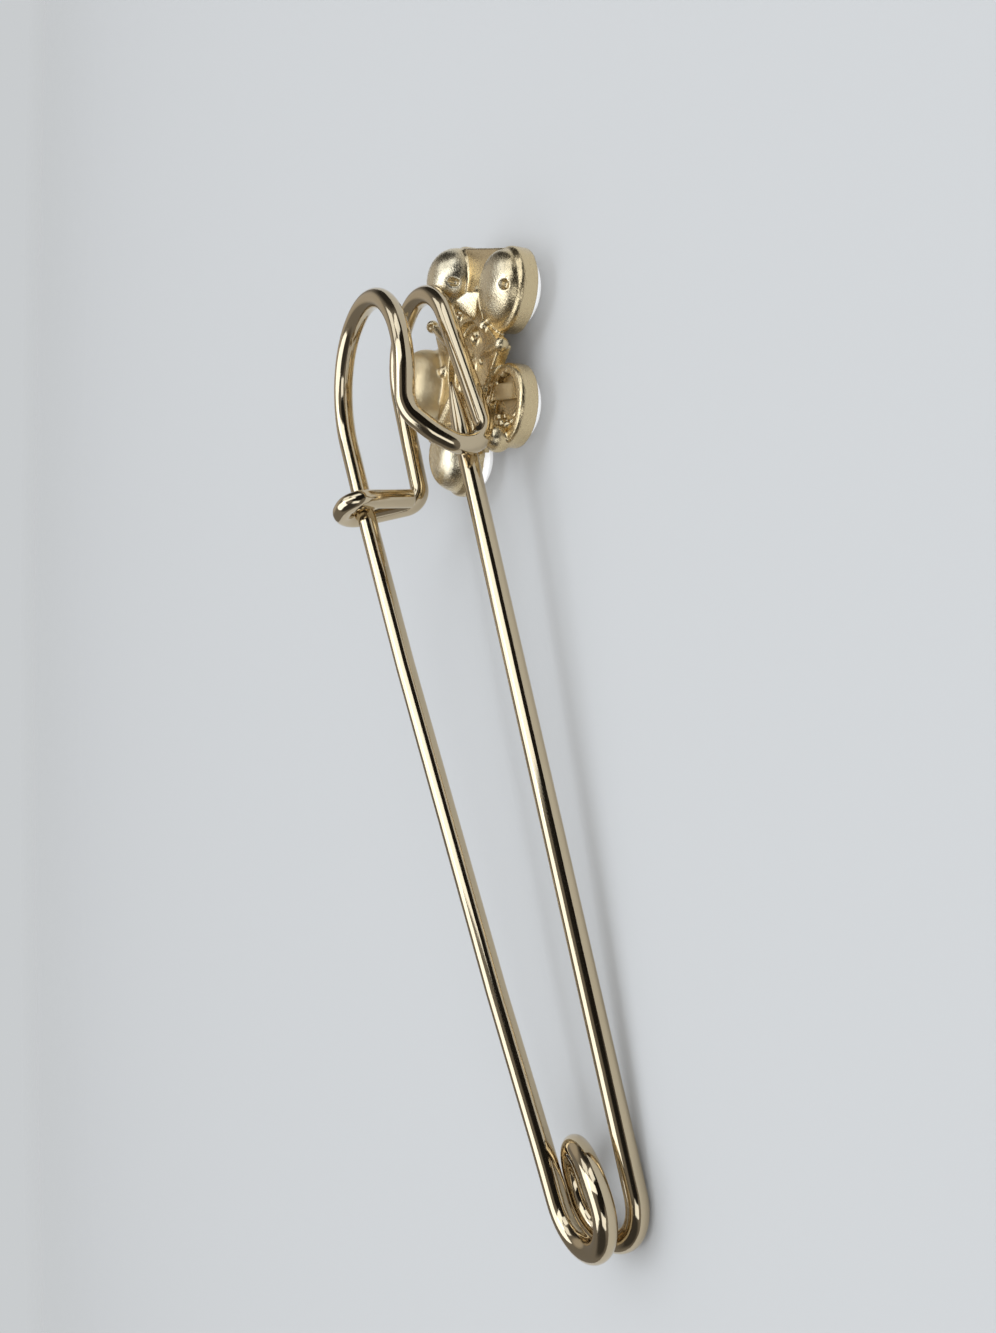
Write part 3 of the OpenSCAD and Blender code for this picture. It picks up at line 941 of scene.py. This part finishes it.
# Dark places of the room: the same, and the depth of each
DARK = [
    ((-0.21, 0.92, 0.33), 0.81, 0.90, 1.0),
    ((0.75, -0.13, 0.64), 0.78, 0.90, 0.8),
    ((0.25, 0.80, 0.55), 0.90, 0.96, 1.0),
    ((-0.98, 0.10, 0.17), 0.85, 0.95, 0.9),
]
walls = room.mix(towards(*PALE_WALL), colour(0.20, 0.19, 0.18), colour(0.46, 0.43, 0.39))
for direction, wide, narrow, depth in DARK:
    walls = room.mix(towards(direction, wide, narrow) * depth, walls, colour(0.012, 0.011, 0.01))
seen = room.node("ShaderNodeLightPath", {}, {}, "Is Camera Ray")
mirrored = room.node("ShaderNodeLightPath", {}, {}, "Is Glossy Ray")
backdrop = room.mix(seen, colour(0.78, 0.79, 0.79), colour(0.585, 0.604, 0.617))
background = world.node_tree.nodes["Background"]
room.put(background.inputs["Color"], room.mix(mirrored, backdrop, walls))
print("room with", len(DARK), "dark places")

# %% [markdown]
# ## Soft boxes
# Six soft lights stand round the pin, as in a small studio. Each long streak on a wire and each bright
# patch on a dome is one of the first five in the mirror, so they are placed by where they have to show. The
# sixth, the front fill, lights the floor and the stones and stays out of the mirrors.

# %% Lights
LIGHT_COLOUR = (0.93, 1.0, 1.1)


def soft_box(name, at, aim, along, width, depth, radiance):
    """A soft, four-cornered light that faces a point, with its width along a direction."""
    start_clean()
    at, aim, along = Vector(at), Vector(aim), Vector(along)
    bpy.ops.object.light_add(type="AREA", location=at)
    light = bpy.context.object
    light.name = name
    back = (at - aim).normalized()
    side = (along - back * back.dot(along)).normalized()
    light.rotation_euler = Matrix((side, back.cross(side), back)).transposed().to_euler()
    light.data.shape = "RECTANGLE"
    light.data.size, light.data.size_y = width, depth
    # an area light's energy is its radiance times pi times its area
    light.data.energy = radiance * math.pi * width * depth
    light.data.color = LIGHT_COLOUR
    return light


# Soft boxes: place, the point each one faces, the way its width runs, width, depth and radiance
BOXES = {
    "strip": ((-0.25, 0.55, 1.0), (-0.25, 0.55, 0), (0, 1, 0), 1.3, 0.44, 1.65),
    "ceiling": ((0.1, -0.4, 1.1), (0.1, -0.4, 0), (0, 1, 0), 1.0, 1.1, 1.85),
    "left_window": ((-0.58, 0.62, 0.53), (0, 0, 0), (0.73, 0.68, 0), 0.42, 0.6, 1.3),
    "right_window": ((0.68, 0.52, 0.53), (0, 0, 0), (-0.7, 0.7, 0), 0.4, 0.5, 1.3),
    "back_window": ((-0.62, 0.06, 0.78), (0, 0, 0), (0, 1, 0), 0.48, 0.4, 1.1),
    "front_fill": ((0.5, 0.75, 0.35), (0, 0, 0), (0.75, -0.5, 0), 0.5, 0.5, 5),
}
boxes = {name: soft_box(name, *settings) for name, settings in BOXES.items()}
boxes["front_fill"].visible_glossy = False
print("soft boxes:", ", ".join(boxes))

bpy.context.scene.view_settings.view_transform = "Standard"

# %% [markdown]
# ## Camera
# The camera stands where the photo was taken from: at the coil's end, above the back of the pin, with the
# flower far and the coil near. Its place, its turn and its lens were worked out from the wires' lines.

# %% Camera
camera_data = bpy.data.cameras.new("camera")
camera = bpy.data.objects.new("camera", camera_data)
bpy.context.scene.collection.objects.link(camera)
bpy.context.scene.camera = camera
FORWARD = Vector((-0.37655, -0.81652, -0.43762)).normalized()
RIGHT = Vector((0.18175, 0.39810, -0.89916)).normalized()
DOWN = FORWARD.cross(RIGHT)
EYE = Vector((24.811, 56.259, 34.548))
turned = Matrix((RIGHT, -DOWN, -FORWARD)).transposed().to_4x4()
camera.matrix_world = Matrix.Translation(EYE * MM) @ turned
# The focal length and the frame's long side in pixels, and the sensor's long side in millimetres
FOCAL_PIXELS, LONG_SIDE, SENSOR = 1079, 1333, 36.0
camera_data.sensor_width = SENSOR
camera_data.lens = FOCAL_PIXELS / LONG_SIDE * SENSOR
camera_data.clip_start, camera_data.clip_end = 0.001, 20
print("camera with a", round(camera_data.lens, 1), "mm lens")
